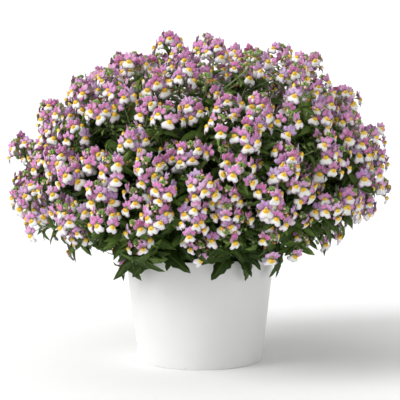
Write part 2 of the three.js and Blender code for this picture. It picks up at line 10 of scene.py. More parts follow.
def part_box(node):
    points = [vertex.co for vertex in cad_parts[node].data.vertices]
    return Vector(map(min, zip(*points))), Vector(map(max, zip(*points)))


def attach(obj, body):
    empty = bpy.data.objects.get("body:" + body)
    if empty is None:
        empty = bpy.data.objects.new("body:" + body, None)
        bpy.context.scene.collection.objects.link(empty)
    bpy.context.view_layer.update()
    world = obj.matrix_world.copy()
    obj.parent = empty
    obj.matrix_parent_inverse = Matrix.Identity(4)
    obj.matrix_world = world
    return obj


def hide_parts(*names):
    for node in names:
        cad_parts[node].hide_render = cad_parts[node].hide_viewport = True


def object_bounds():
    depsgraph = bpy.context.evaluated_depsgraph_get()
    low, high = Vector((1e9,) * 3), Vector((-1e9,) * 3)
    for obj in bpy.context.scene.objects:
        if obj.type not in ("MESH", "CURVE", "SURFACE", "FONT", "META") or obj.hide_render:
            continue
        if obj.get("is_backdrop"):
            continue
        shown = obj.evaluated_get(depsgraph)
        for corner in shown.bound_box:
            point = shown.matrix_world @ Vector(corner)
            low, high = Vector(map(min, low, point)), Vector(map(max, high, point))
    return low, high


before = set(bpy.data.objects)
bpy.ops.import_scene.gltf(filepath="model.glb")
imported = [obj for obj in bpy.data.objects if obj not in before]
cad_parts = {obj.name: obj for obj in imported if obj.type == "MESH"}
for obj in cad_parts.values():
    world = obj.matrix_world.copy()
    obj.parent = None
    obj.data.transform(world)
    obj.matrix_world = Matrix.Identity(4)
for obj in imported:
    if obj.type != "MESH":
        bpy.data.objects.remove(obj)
cad_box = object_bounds()

# Pot
# A nursery pot, moulded in one piece of satin white plastic: a straight taper with a thin wall, a rounded
# rim and a flat foot. Five holes in its floor drain it. It stands free, and the plant only sits in it.
MM = 0.001
POT_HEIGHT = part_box("pot")[1].z
POT_TOP_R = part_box("pot")[1].x
POT_FOOT_R = 75 * MM
POT_WALL = 2.4 * MM
POT_FLOOR = 4 * MM
POT_ROUNDING = 0.9 * MM
POT_STEPS = 120
DRAIN_HOLES = 5
DRAIN_RING_R = 44 * MM
DRAIN_R = 5 * MM
DRILL_SIDES = 24
DRILL_LENGTH = 4 * POT_FLOOR
POT_WHITE = (0.73, 0.73, 0.725)
POT_SHADE = (0.69, 0.69, 0.69)
POT_DUST = (0.52, 0.5, 0.47)
DUST_SHARE = 0.35
DUST_HEIGHT = 9 * MM
SHARP = math.radians(35)
WELD = 1e-6


def node(tree, kind, inputs=None, **settings):
    """A shader node with its settings, and with its inputs set or linked."""
    made = tree.nodes.new(kind)
    for name, value in settings.items():
        setattr(made, name, value)
    for name, value in (inputs or {}).items():
        if isinstance(value, bpy.types.NodeSocket):
            tree.links.new(value, made.inputs[name])
        elif isinstance(value, tuple) and made.inputs[name].type == "RGBA":
            made.inputs[name].default_value = (*value, 1)
        else:
            made.inputs[name].default_value = value
    return made


def sums(tree, operation, a, b=0.0, c=0.0):
    return node(tree, "ShaderNodeMath", {0: a, 1: b, 2: c}, operation=operation).outputs[0]


def product(tree, a, b):
    return sums(tree, "MULTIPLY", a, b)


def mixed(tree, share, a, b):
    """Colour a where share is 0, colour b where it is 1."""
    return node(tree, "ShaderNodeMix", {"Factor": share, 6: a, 7: b}, data_type="RGBA").outputs[2]


def rising(tree, share, low, high):
    """0 below low, 1 above high and smooth between them."""
    inputs = {"Value": share, "From Min": low, "From Max": high}
    return node(tree, "ShaderNodeMapRange", inputs, interpolation_type="SMOOTHSTEP").outputs[0]


def fading(tree, share, low, high):
    """1 below low, 0 above high and smooth between them."""
    return sums(tree, "SUBTRACT", 1.0, rising(tree, share, low, high))


def mottle(tree, places, scale, detail=3.0):
    inputs = {"Vector": places, "Scale": scale, "Detail": detail}
    return node(tree, "ShaderNodeTexNoise", inputs).outputs["Fac"]


def on_object(tree):
    return node(tree, "ShaderNodeTexCoord").outputs["Object"]


def bumped(tree, height, strength, distance):
    inputs = {"Height": height, "Strength": strength, "Distance": distance}
    return node(tree, "ShaderNodeBump", inputs).outputs["Normal"]


def new_finish(name, **sockets):
    """A new material, its node tree and its shader, with the shader's plain values set."""
    made = bpy.data.materials.new(name)
    made.use_nodes = True
    shader = made.node_tree.nodes["Principled BSDF"]
    for socket, value in sockets.items():
        shader.inputs[socket.replace("_", " ").title().replace("Ior", "IOR")].default_value = value
    return made, made.node_tree, shader


def paint(tree, shader, colour, rough=None, normal=None):
    for name, value in {"Base Color": colour, "Roughness": rough, "Normal": normal}.items():
        if value is not None:
            tree.links.new(value, shader.inputs[name])


def turned(bm, profile, steps):
    """Spins a profile of (radius, height) points about the upright axis."""
    points = [bm.verts.new((radius, 0, height)) for radius, height in profile]
    edges = [bm.edges.new(pair) for pair in zip(points, points[1:])]
    bmesh.ops.spin(
        bm, geom=points + edges, cent=(0, 0, 0), axis=(0, 0, 1), angle=math.tau, steps=steps, use_merge=True
    )
    bmesh.ops.remove_doubles(bm, verts=bm.verts, dist=WELD)
    bmesh.ops.recalc_face_normals(bm, faces=bm.faces)


def smoothed(bm):
    """Shades a mesh smooth, but for its sharp edges."""
    for face in bm.faces:
        face.smooth = True
    for edge in bm.edges:
        edge.smooth = len(edge.link_faces) == 2 and edge.calc_face_angle() < SHARP


def mesh_of(name, bm):
    mesh = bpy.data.meshes.new(name)
    bm.to_mesh(mesh)
    bm.free()
    return mesh


def new_object(name, data):
    made = bpy.data.objects.new(name, data)
    bpy.context.scene.collection.objects.link(made)
    return made


def piece(name, bm, materials, replaced):
    """Makes a finished mesh one piece of the object, standing for a node of the frame."""
    mesh = mesh_of(name, bm)
    for material in materials:
        mesh.materials.append(material)
    made = new_object(name, mesh)
    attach(made, "root")
    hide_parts(replaced)
    return made


def pot_radius(height):
    return POT_FOOT_R + (POT_TOP_R - POT_FOOT_R) * height / POT_HEIGHT


pot_plastic, tree, shader = new_finish("pot_plastic")
spot = on_object(tree)
height = node(tree, "ShaderNodeSeparateXYZ", {"Vector": spot}).outputs["Z"]
cloudy = mottle(tree, spot, scale=9.0)
white = mixed(tree, rising(tree, cloudy, 0.35, 0.7), POT_WHITE, POT_SHADE)
near_foot = fading(tree, height, 0.0, DUST_HEIGHT)
specks = rising(tree, mottle(tree, spot, scale=220.0, detail=5.0), 0.56, 0.66)
dusty = product(tree, product(tree, near_foot, specks), DUST_SHARE)
grain = mottle(tree, spot, scale=900.0, detail=2.0)
paint(
    tree,
    shader,
    mixed(tree, dusty, white, POT_DUST),
    rough=sums(tree, "MULTIPLY_ADD", cloudy, 0.16, 0.32),
    normal=bumped(tree, grain, strength=0.12, distance=0.1 * MM),
)

bm = bmesh.new()
turned(
    bm,
    [
        (0, 0),
        (POT_FOOT_R, 0),
        (POT_TOP_R, POT_HEIGHT),
        (POT_TOP_R - POT_WALL, POT_HEIGHT),
        (pot_radius(POT_FLOOR) - POT_WALL, POT_FLOOR),
        (0, POT_FLOOR),
    ],
    POT_STEPS,
)
corners = [edge for edge in bm.edges if edge.calc_face_angle() > SHARP]
bmesh.ops.bevel(
    bm, geom=corners, offset=POT_ROUNDING, segments=3, profile=0.5, affect="EDGES", material=-1
)
smoothed(bm)
pot = piece("nursery_pot", bm, [pot_plastic], "pot")

bm = bmesh.new()
for i in range(DRAIN_HOLES):
    on_ring = Matrix.Rotation(i * math.tau / DRAIN_HOLES, 4, "Z") @ Matrix.Translation((DRAIN_RING_R, 0, 0))
    bmesh.ops.create_cone(
        bm,
        cap_ends=True,
        segments=DRILL_SIDES,
        radius1=DRAIN_R,
        radius2=DRAIN_R,
        depth=DRILL_LENGTH,
        matrix=on_ring,
    )
drills = new_object("drills", mesh_of("drills", bm))
drilling = pot.modifiers.new("drain_holes", "BOOLEAN")
drilling.object = drills
bpy.context.view_layer.update()
drilled = bpy.data.meshes.new_from_object(pot.evaluated_get(bpy.context.evaluated_depsgraph_get()))
pot.modifiers.clear()
pot.data = drilled
bpy.data.objects.remove(drills)

# Potting mix
# Dark peaty compost with crumbs of bark, filled to a finger's width below the rim and settled by watering.
# It is loose stuff that holds the roots, and the leaves hide nearly all of it.
SOIL_SEED = 11
SOIL_TOP = 114 * MM
SOIL_GAP = 0.3 * MM
SOIL_RINGS = 30
SOIL_STEPS = 90
SOIL_LUMP = 3 * MM
LUMPS_PER_M = 90
LUMP_SOFTNESS = 0.8
LUMP_RATIO = 2.1
LUMP_LAYERS = 4
LUMP_SWING = 0.6
LUMP_LIFT = 0.5
LEVEL_EDGE = 6 * MM
CRUMBS = 420
CRUMBS_REACH = 0.97
CRUMB_SIZES = (0.8 * MM, 2.6 * MM)
CRUMB_LENGTHS = (0.7, 1.6)
CRUMB_FLATNESS = 0.7
CRUMB_RISE = 2 * MM
CRUMB_SPIN = 6
PEAT = (0.016, 0.0095, 0.006)
PEAT_LIT = (0.055, 0.034, 0.02)
BARK = (0.12, 0.07, 0.035)

soil_mix, tree, shader = new_finish("potting_mix", roughness=0.95)
spot = on_object(tree)
coarse = mottle(tree, spot, scale=160.0, detail=6.0)
fine = mottle(tree, spot, scale=700.0, detail=4.0)
brown = mixed(tree, rising(tree, coarse, 0.35, 0.7), PEAT, PEAT_LIT)
fibres = rising(tree, fine, 0.62, 0.7)
paint(
    tree,
    shader,
    mixed(tree, fibres, brown, BARK),
    normal=bumped(tree, sums(tree, "ADD", coarse, fine), strength=0.9, distance=1.2 * MM),
)

draw = random.Random(SOIL_SEED)
soil_edge = pot_radius(SOIL_TOP) - POT_WALL - SOIL_GAP
bm = bmesh.new()
turned(
    bm,
    [
        (0, POT_FLOOR + SOIL_GAP),
        (pot_radius(POT_FLOOR) - POT_WALL - SOIL_GAP, POT_FLOOR + SOIL_GAP),
        *[(soil_edge * (1 - i / SOIL_RINGS), SOIL_TOP) for i in range(SOIL_RINGS + 1)],
    ],
    SOIL_STEPS,
)
for vert in bm.verts:
    if vert.co.z > SOIL_TOP - MM:
        lump = noise.fractal(vert.co * LUMPS_PER_M, LUMP_SOFTNESS, LUMP_RATIO, LUMP_LAYERS)
        inwards = min(1.0, (soil_edge - vert.co.xy.length) / LEVEL_EDGE)
        vert.co.z += SOIL_LUMP * (LUMP_SWING * lump + LUMP_LIFT) * inwards
for _ in range(CRUMBS):
    far = soil_edge * CRUMBS_REACH * math.sqrt(draw.random())
    angle = draw.uniform(0, math.tau)
    size = draw.uniform(*CRUMB_SIZES)
    at = Matrix.Translation((far * math.cos(angle), far * math.sin(angle), SOIL_TOP + CRUMB_RISE))
    shape = Matrix.Diagonal((size * draw.uniform(*CRUMB_LENGTHS), size, size * CRUMB_FLATNESS, 1))
    axle = (draw.random(), draw.random(), draw.random())
    spin = Quaternion(axle, draw.uniform(0, CRUMB_SPIN)).to_matrix().to_4x4()
    bmesh.ops.create_icosphere(bm, subdivisions=1, radius=1, matrix=at @ spin @ shape)
piece("potting_mix", bm, [soil_mix], "soil")

# Plan of the plant
# A nemesia branches from its base, and each branch forks again into the stalks of its flower heads. The
# heads end on a dome, spread evenly by the golden angle, and every head has its own way up from the soil.
PLAN_SEED = 5
DOME_R = 230 * MM
DOME_MID = 213 * MM
DOME_RISE = 184 * MM
DOME_SKIRT = 100 * MM
DOME_END = math.radians(134)
SCATTER = 0.2
HEAD_SCATTER = 0.5
HEAD_SINK = 24 * MM
STEMS = 12
SHOOTS = 8
SPRAYS = 28
HEADS = 76
RACEME = 22 * MM
CROWN_MIN_R = 5 * MM
CROWN_R = 52 * MM
HOLE_DEPTH = 14 * MM
WAY_RISE = 0.34
WAY_OUT = 0.12
WAY_ARRIVE = 0.16
STEM_FORKS_AT = 0.34
SPRAY_AT = 0.75
UP = Vector((0, 0, 1))
GOLDEN_ANGLE = math.pi * (3 - math.sqrt(5))


def numbers(seed):
    """Seeded draw of numbers from 0 to 1, in 32-bit whole numbers as the solids' source draws them."""
    mask = 0xFFFFFFFF
    state = seed
    while True:
        state = (state + 0x6D2B79F5) & mask
        t = ((state ^ (state >> 15)) * (state | 1)) & mask
        t ^= (t + (((t ^ (t >> 7)) * (t | 61)) & mask)) & mask
        yield (t ^ (t >> 14)) / (mask + 1)


def blend(*terms):
    """The direction of a sum of (share, vector)."""
    return sum((share * vector for share, vector in terms), Vector()).normalized()


def mean(points):
    return sum(points, Vector()) / len(points)


def direction_at(cosine, angle):
    """A direction by the cosine of its lean from upright and its turn about upright."""
    sine = math.sqrt(1 - cosine * cosine)
    return Vector((sine * math.cos(angle), sine * math.sin(angle), cosine))


def spread(count):
    """Directions spread evenly over the dome."""
    depth = 1 - math.cos(DOME_END)
    return [direction_at(1 - depth * (i + 0.5) / count, i * GOLDEN_ANGLE) for i in range(count)]


def nearest(direction, choices):
    return max(range(len(choices)), key=lambda i: direction.dot(choices[i]))


def dome_point(direction):
    rise = DOME_RISE if direction.z > 0 else DOME_SKIRT
    return Vector((direction.x * DOME_R, direction.y * DOME_R, DOME_MID + direction.z * rise))


def new_head(even, draws, share=SCATTER, deeper=0.0):
    """A flower head near an even direction: its own direction, its axis, its foot and its twist."""
    scatter = Vector((next(draws) - 0.5, next(draws) - 0.5, next(draws) - 0.5))
    direction = blend((1, even), (share, scatter))
    axis = blend((1, direction), (1, UP), (HEAD_SCATTER, scatter))
    tip = dome_point(direction) - (HEAD_SINK * next(draws) + deeper) * direction
    return {"direction": direction, "axis": axis, "base": tip - RACEME * axis, "twist": next(draws) - 0.5}


def bezier(points):
    a, b, c, d = points
    return lambda s: (
        (1 - s) ** 3 * a + 3 * (1 - s) ** 2 * s * b + 3 * (1 - s) * s**2 * c + s**3 * d
    )


def give_way(head, stem):
    """A head's way from the foot of its stem: up out of the soil, then over to its place on the dome."""
    far = (head["base"] - stem["foot"]).length
    up = stem["foot"] + (far * WAY_RISE + HOLE_DEPTH) * UP + far * WAY_OUT * stem["out"]
    head["way"] = bezier([stem["foot"], up, head["base"] - far * WAY_ARRIVE * head["axis"], head["base"]])


def way_of(group):
    return lambda s: mean([head["way"](s) for head in group])


def leaving(start, end, a, b):
    """A way that leaves one way at share a and has joined another at share b."""

    def way(s):
        share = min(1.0, max(0.0, (s - a) / (b - a)))
        return start(s).lerp(end(s), share * share * (3 - 2 * share))

    return way


draws = numbers(PLAN_SEED)
spray_directions = spread(SPRAYS)
stem_directions = spread(STEMS)
heads = [new_head(even, draws) for even in spread(HEADS)]
sprays = [{"stem": nearest(direction, stem_directions), "heads": []} for direction in spray_directions]
for head in heads:
    sprays[nearest(head["direction"], spray_directions)]["heads"].append(head)
stems = []
for i in range(STEMS):
    own = [spray for spray in sprays if spray["stem"] == i and spray["heads"]]
    towards = mean([head["direction"] for spray in own for head in spray["heads"]]).normalized()
    out = Vector((towards.x, towards.y, 0)).normalized()
    crown = CROWN_MIN_R + (CROWN_R - CROWN_MIN_R) * math.acos(towards.z) / DOME_END
    stems.append({"sprays": own, "out": out, "foot": SOIL_TOP * UP + crown * out})
for stem in stems:
    for spray in stem["sprays"]:
        for head in spray["heads"]:
            give_way(head, stem)
        spray["middle"] = way_of(spray["heads"])
    stem["middle"] = way_of([head for spray in stem["sprays"] for head in spray["heads"]])
shoot_turns = [next(draws) - 0.5 for _ in range(SHOOTS)]

# Leafy stems
# The green stems that carry the dome, with opposite pairs of narrow toothed leaves, each pair turned a
# quarter from the last. A stem is round and firm, and forks into a branch for each spray of flowers.
STEM_SEED = 100
ROOT_DEPTH = 9 * MM
TRUNK_R = 2.3 * MM
TRUNK_END_R = 0.85 * TRUNK_R
TRUNK_POINTS = 12
BRANCH_R = 1.5 * MM
BRANCH_END_R = 1.1 * MM
BRANCH_POINTS = 14
FORK_STEP = 0.004
FIRST_FORK = 5
TWIGS_AT = (0.38, 0.42, 0.46, 0.5, 0.56, 0.62, 0.68, 0.74)
TWIG_LOW = 160 * MM
TWIG = 56 * MM
TWIG_LENGTHS = (0.7, 1.1)
TWIG_AHEAD = 0.7
TWIG_UP = 0.4
TWIG_R = 0.9 * MM
TWIG_END_R = 0.6 * TWIG_R
TWIG_POINTS = 7
TWIG_BARE = 0.15
HEADING_STEP = 0.02
LEAF_KINDS = 8
LEAF_ROWS = 10
SMALL_LEAF_ROWS = 4
LEAF_OUTLINE = 20
LEAF_THICK = 0.013
LEAF_BELLY = 0.47
LEAF_BELLY_AT = 0.78
LEAF_FULLNESS = 0.85
LEAF_FOOT = 0.03
LEAF_TIP = 0.006
TOOTH = 0.12
TOOTH_AHEAD = 0.025
LEAF_CUP = 0.3
LEAF_FOLDS = (0.3, 0.9)
LEAF_TWISTS = (-0.5, 0.5)
LEAF_DROOPS = (0.35, 1.95)
FIRST_LEAF_AT = 0.06
LEAF_SPACING = 7 * MM
TWIG_LEAF_SPACING = 0.9 * LEAF_SPACING
LEAF_STEPS = 60
STEM_LEAVES = (50 * MM, 30 * MM)
TWIG_LEAVES = (36 * MM, 36 * MM)
LEAF_LENGTHS = (0.8, 1.15)
LEAF_WIDTHS = (0.25, 0.34)
LEAF_LIFTS = (0.25, 0.85)
LIFT_TRIES = 4
LIFT_STEP = 0.3
LEAF_UP = 0.15
PAIR_TURNS = (-0.4, 0.4)
# Stem leaves, deep in the bush, take darker tones than the leaves on twigs and flower stalks near the
# outside: painted shade inside the bush.
LEAF_TONES = (-0.1, 0.6)
TWIG_TONES = (0.3, 1)
# How much lighter a leaf is painted per metre above the dome's middle: painted light, as the top of the bush
# catches more light.
PAINTED_LIGHT_BY_HEIGHT = 3.5
LEAF_REACH = 0.96
OPEN_ABOVE = 290 * MM
OPEN_LEAVES = 0.25
CLEARANCE = 1.5 * MM
STEM_GREEN = (0.13, 0.19, 0.055)
STEM_PALE = (0.24, 0.30, 0.12)
LEAF_DARK = (0.02, 0.042, 0.005)
LEAF_MID = (0.068, 0.125, 0.016)
LEAF_LIGHT = (0.14, 0.22, 0.04)
LEAF_VEIN = (0.13, 0.19, 0.07)
LEAF_BACK = (0.1, 0.16, 0.045)
LEAF_GLOW = (1 * MM, 2 * MM, 0.5 * MM)
VEINS_ALONG = 44.0
VEINS_SLANT = -16.0
LEAF, UNDER = 1, 2


def tone_of(tree):
    return node(tree, "ShaderNodeAttribute", attribute_name="tone").outputs["Fac"]


def across_and_along(tree):
    """A blade's own places: 0 at its middle to 1 at its edges, and 0 at its foot to 1 at its tip."""
    parts = node(tree, "ShaderNodeSeparateXYZ", {"Vector": node(tree, "ShaderNodeUVMap").outputs["UV"]})
    across = sums(tree, "ABSOLUTE", sums(tree, "MULTIPLY_ADD", parts.outputs["X"], 2.0, -1.0))
    return across, parts.outputs["Y"]


stem_green, tree, shader = new_finish("stem_green", roughness=0.55)
streaks = mottle(tree, on_object(tree), scale=260.0)
paint(
    tree,
    shader,
    mixed(tree, streaks, STEM_GREEN, STEM_PALE),
    normal=bumped(tree, streaks, strength=0.3, distance=0.3 * MM),
)

leaf_green, tree, shader = new_finish(
    "leaf_green", subsurface_weight=0.05, subsurface_radius=LEAF_GLOW, specular_ior_level=0.15
)
tone = tone_of(tree)
across, along = across_and_along(tree)
spot = on_object(tree)
green = mixed(tree, tone, LEAF_DARK, LEAF_MID)
green = mixed(tree, rising(tree, tone, 0.82, 1.0), green, LEAF_LIGHT)
green = mixed(tree, rising(tree, mottle(tree, spot, scale=120.0), 0.5, 0.75), green, LEAF_MID)
slant = sums(tree, "MULTIPLY_ADD", along, VEINS_ALONG, product(tree, across, VEINS_SLANT))
side_veins = rising(tree, sums(tree, "SINE", slant), 0.88, 1.0)
midrib = fading(tree, across, 0.03, 0.13)
veins = sums(tree, "MAXIMUM", product(tree, side_veins, 0.45), midrib)
relief = sums(tree, "SUBTRACT", product(tree, mottle(tree, spot, scale=500.0), 0.5), veins)
paint(
    tree,
    shader,
    mixed(tree, product(tree, veins, 0.55), green, LEAF_VEIN),
    rough=sums(tree, "MULTIPLY_ADD", mottle(tree, spot, scale=90.0), 0.25, 0.38),
    normal=bumped(tree, relief, strength=0.5, distance=0.35 * MM),
)

leaf_under, tree, shader = new_finish(
    "leaf_underside",
    roughness=0.6,
    subsurface_weight=0.05,
    subsurface_radius=LEAF_GLOW,
    specular_ior_level=0.2,
)
across, along = across_and_along(tree)
midrib = fading(tree, across, 0.05, 0.2)
pale = mixed(tree, tone_of(tree), LEAF_MID, LEAF_BACK)
paint(
    tree,
    shader,
    mixed(tree, product(tree, midrib, 0.6), pale, STEM_PALE),
    normal=bumped(tree, midrib, strength=0.5, distance=0.4 * MM),
)
LEAFY = [stem_green, leaf_green, leaf_under]


def between(ends, share):
    """From the first of two ends at share 0 to the second at share 1."""
    return ends[0] + (ends[1] - ends[0]) * share


def square_to(axis, angle):
    """A direction square to an axis, turned about it."""
    out = axis.orthogonal().normalized()
    out.rotate(Quaternion(axis, angle))
    return out


def blade(bm, across, along, thick, upper, lower, place):
    """A thin closed blade, of across by along faces a side, in the materials upper and lower.

    place(u, t) gives its upper face, with u from -1 to 1 across and t from 0 to 1 along.
    """
    verts = bmesh.ops.create_grid(bm, x_segments=across, y_segments=along, size=1)["verts"]
    faces = list({face for vert in verts for face in vert.link_faces})
    uv = bm.loops.layers.uv["UVMap"]
    for face in faces:
        face.smooth = True
        face.material_index = upper
        for loop in face.loops:
            loop[uv].uv = ((loop.vert.co.x + 1) / 2, (loop.vert.co.y + 1) / 2)
    rim = [edge for face in faces for edge in face.edges if edge.is_boundary]
    for vert in verts:
        vert.co = place(vert.co.x, (vert.co.y + 1) / 2)
    bm.normal_update()
    made = bmesh.ops.duplicate(bm, geom=verts + faces)["geom"]
    backs = [part for part in made if isinstance(part, bmesh.types.BMFace)]
    lowered = [part for part in made if isinstance(part, bmesh.types.BMVert)]
    for vert in lowered:
        if not vert.is_boundary:
            vert.co -= vert.normal * thick
    bmesh.ops.reverse_faces(bm, faces=backs)
    for face in backs:
        face.material_index = lower
    for edge in rim:
        edge.smooth = False
    bmesh.ops.remove_doubles(bm, verts=verts + lowered, dist=thick * 1e-3)


def plant_mesh():
    """An empty mesh with places on its blades and a tone for each copied leaf or flower."""
    bm = bmesh.new()
    bm.verts.layers.float.new("tone")
    bm.loops.layers.uv.new("UVMap")
    return bm


def leaf_shape(rows, tooth, droop, fold, twist):
    """A lanceolate leaf of length and width 1, folded along its midrib and drooping.

    Every other row of its points swells into a tooth.
    """

    def place(u, t):
        row = round(t * rows)
        odd = row % 2 == 1
        if 0 < row < rows:
            toothed = 1 + tooth if odd else 1 - tooth
            half = LEAF_FOOT + LEAF_BELLY * math.sin(math.pi * t**LEAF_BELLY_AT) ** LEAF_FULLNESS * toothed
        else:
            half = LEAF_TIP if row == rows else LEAF_FOOT
        far = t + TOOTH_AHEAD * abs(u) if odd else t
        lift = fold * abs(u) * half * LEAF_CUP + u * half * math.sin(twist * t) * LEAF_CUP
        fall = (1 - math.cos(droop * far)) / droop
        return Vector((u * half * math.cos(twist * t), math.sin(droop * far) / droop, lift - fall))

    return place


def leaf_template(seed, rows, tooth):
    """A leaf to copy, with points along its edges and midrib, and its tip."""
    draw = random.Random(seed)
    bm = plant_mesh()
    droop = between(LEAF_DROOPS, seed / LEAF_KINDS)
    form = leaf_shape(rows, tooth, droop, draw.uniform(*LEAF_FOLDS), draw.uniform(*LEAF_TWISTS))
    blade(bm, 2, rows, LEAF_THICK, LEAF, UNDER, form)
    outline = [form(u, i / LEAF_OUTLINE) for u in (-1, 0, 1) for i in range(LEAF_OUTLINE + 1)]
    return mesh_of("leaf", bm), outline, form(0, 1)


def put(bm, mesh, matrix, tone):
    """Adds a copy of a template to a mesh, with its own tone."""
    copy = mesh.copy()
    copy.transform(matrix)
    copy.attributes["tone"].data.foreach_set("value", [tone] * len(copy.vertices))
    bm.from_mesh(copy)
    bpy.data.meshes.remove(copy)


def set_at(place, ahead, above, scale):
    """The matrix that lays a template's Y along ahead and its Z towards above, scaled along its own axes."""
    y = ahead.normalized()
    z = (above - above.dot(y) * y).normalized()
    x = y.cross(z)
    turn = Matrix((x, y, z)).transposed().to_4x4()
    return Matrix.Translation(place) @ turn @ Matrix.Diagonal((*scale, 1))


def rods(bm, paths, roundness=0):
    """Adds round stalks along paths of (point, radius), with closed ends."""
    curve = bpy.data.curves.new("rods", "CURVE")
    curve.dimensions = "3D"
    curve.bevel_depth = 1
    curve.bevel_resolution = roundness
    curve.use_fill_caps = True
    for path in paths:
        spline = curve.splines.new("POLY")
        spline.points.add(len(path) - 1)
        for point, (place, radius) in zip(spline.points, path):
            point.co = (*place, 1)
            point.radius = radius
    holder = bpy.data.objects.new("rods", curve)
    mesh = bpy.data.meshes.new_from_object(holder)
    bpy.data.objects.remove(holder)
    bpy.data.curves.remove(curve)
    first = len(bm.verts)
    bm.from_mesh(mesh)
    bpy.data.meshes.remove(mesh)
    bm.verts.ensure_lookup_table()
    bmesh.ops.remove_doubles(bm, verts=bm.verts[first:], dist=WELD)


def sampled(way, start, end, count):
    return [way(start + (end - start) * i / (count - 1)) for i in range(count)]


def tapered(points, start_r, end_r):
    last = len(points) - 1
    return [(point, start_r + (end_r - start_r) * i / last) for i, point in enumerate(points)]


def leaf_nodes(way, start, end, spacing):
    """Points along a way at an even spacing, each with the way's heading and share there."""
    made, walked, last = [], 0.0, way(start)
    for i in range(1, LEAF_STEPS + 1):
        s = start + (end - start) * i / LEAF_STEPS
        point = way(s)
        walked += (point - last).length
        if walked >= spacing and (point - last).length > 0:
            made.append((point, (point - last).normalized(), s))
            walked = 0.0
        last = point
    return made


def hits_pot(points):
    """Whether any of these points is in the pot's wall or in the soil."""
    for point in points:
        beyond = point.xy.length - pot_radius(point.z) + POT_WALL / 2
        if point.z < POT_HEIGHT + CLEARANCE and abs(beyond) < POT_WALL / 2 + CLEARANCE:
            return True
        if point.z < SOIL_TOP + SOIL_LUMP + CLEARANCE and beyond < 0:
            return True
    return False


def stands_out(point):
    """Whether a leaf's tip would stand out above the flowers."""
    flat = Vector((point.x / DOME_R, point.y / DOME_R, (point.z - DOME_MID) / DOME_RISE))
    return flat.z > 0 and flat.length > LEAF_REACH


def leaf_pairs(bm, nodes, kinds, draw, lengths, tones, widths=LEAF_WIDTHS, lifts=LEAF_LIFTS):
    """Adds a pair of leaves at each node. A leaf is lifted until it clears the pot, or else left out."""
    for i, (point, heading, s) in enumerate(nodes):
        side = square_to(heading, (i % 2) * math.pi / 2 + draw.uniform(*PAIR_TURNS))
        for sign in (1, -1):
            lift = draw.uniform(*lifts)
            length = between(lengths, s) * draw.uniform(*LEAF_LENGTHS)
            scale = (length * draw.uniform(*widths), length, length)
            mesh, outline, tip = draw.choice(kinds)
            # A leaf's tone rises with its height above the dome's middle: painted light on the top of the
            # bush.
            tone = draw.uniform(*tones) + PAINTED_LIGHT_BY_HEIGHT * max(0.0, point.z - DOME_MID)
            if point.z > OPEN_ABOVE and draw.random() > OPEN_LEAVES:
                continue
            for _ in range(LIFT_TRIES):
                ahead = blend((math.cos(lift) * sign, side), (math.sin(lift), heading), (LEAF_UP, UP))
                matrix = set_at(point, ahead, heading, scale)
                if not (hits_pot([matrix @ place for place in outline]) or stands_out(matrix @ tip)):
                    put(bm, mesh, matrix, tone)
                    break
                lift += LIFT_STEP


def side_twig(way, s, draw):
    """A twig's way: along its branch at first, then out and up."""
    start = way(s)
    heading = (way(s + HEADING_STEP) - start).normalized()
    side = square_to(heading, draw.uniform(0, math.tau))
    ahead = blend((1, side), (TWIG_AHEAD, heading), (TWIG_UP, UP))
    end = start + TWIG * draw.uniform(*TWIG_LENGTHS) * ahead
    bend = start + TWIG / 2 * heading
    return bezier([start, start.lerp(bend, 0.5), end.lerp(bend, 0.3), end])


leaves = [leaf_template(seed, LEAF_ROWS, TOOTH) for seed in range(LEAF_KINDS)]
small_leaves = [leaf_template(seed, SMALL_LEAF_ROWS, 0) for seed in range(LEAF_KINDS)]
for i, stem in enumerate(stems):
    draw = random.Random(STEM_SEED + i)
    bm = plant_mesh()
    trunk = [stem["foot"] - ROOT_DEPTH * UP, *sampled(stem["middle"], 0, STEM_FORKS_AT, TRUNK_POINTS)]
    paths = [tapered(trunk, TRUNK_R, TRUNK_END_R)]
    leafy = leaf_nodes(stem["middle"], FIRST_LEAF_AT, STEM_FORKS_AT, LEAF_SPACING)
    for k, spray in enumerate(stem["sprays"]):
        branch = leaving(stem["middle"], spray["middle"], STEM_FORKS_AT, SPRAY_AT)
        fork = STEM_FORKS_AT - (FIRST_FORK + k) * FORK_STEP
        paths.append(tapered(sampled(branch, fork, SPRAY_AT, BRANCH_POINTS), BRANCH_R, BRANCH_END_R))
        leafy += leaf_nodes(branch, STEM_FORKS_AT, SPRAY_AT, LEAF_SPACING)
        for s in [s for s in TWIGS_AT if branch(s).z > TWIG_LOW]:
            twig = side_twig(branch, s, draw)
            paths.append(tapered(sampled(twig, 0, 1, TWIG_POINTS), TWIG_R, TWIG_END_R))
            nodes = leaf_nodes(twig, TWIG_BARE, 1, TWIG_LEAF_SPACING)
            leaf_pairs(bm, nodes, small_leaves, draw, TWIG_LEAVES, TWIG_TONES)
    leaf_pairs(bm, leafy, leaves, draw, STEM_LEAVES, LEAF_TONES)
    rods(bm, paths, roundness=1)
    piece(f"leafy_stem_{i + 1:02d}", bm, LEAFY, f"stem_{i + 1:02d}")

# Rim shoots
# Short leafy shoots at the edge of the soil. Their large soft leaves reach over the rim and hang down the
# outside of the pot, where the bush is open enough to show them.
SHOOT_SEED = 200
SHOOT_RING_R = 70 * MM
SHOOT_SCATTER = 0.3
SHOOT_ROOT = 8 * MM
SHOOT_PATH = [(0, 0), (0, 16), (8, 24), (30, 34)]
SHOOT_POINTS = 8
SHOOT_END_R = 0.6 * BRANCH_R
SHOOT_BARE = 0.2
RIM_SPACING = 5.5 * MM
RIM_LEAVES = (48 * MM, 48 * MM)
RIM_WIDTHS = (0.3, 0.4)
RIM_LIFTS = (-0.3, 0.4)
RIM_TONES = (0, 0.35)

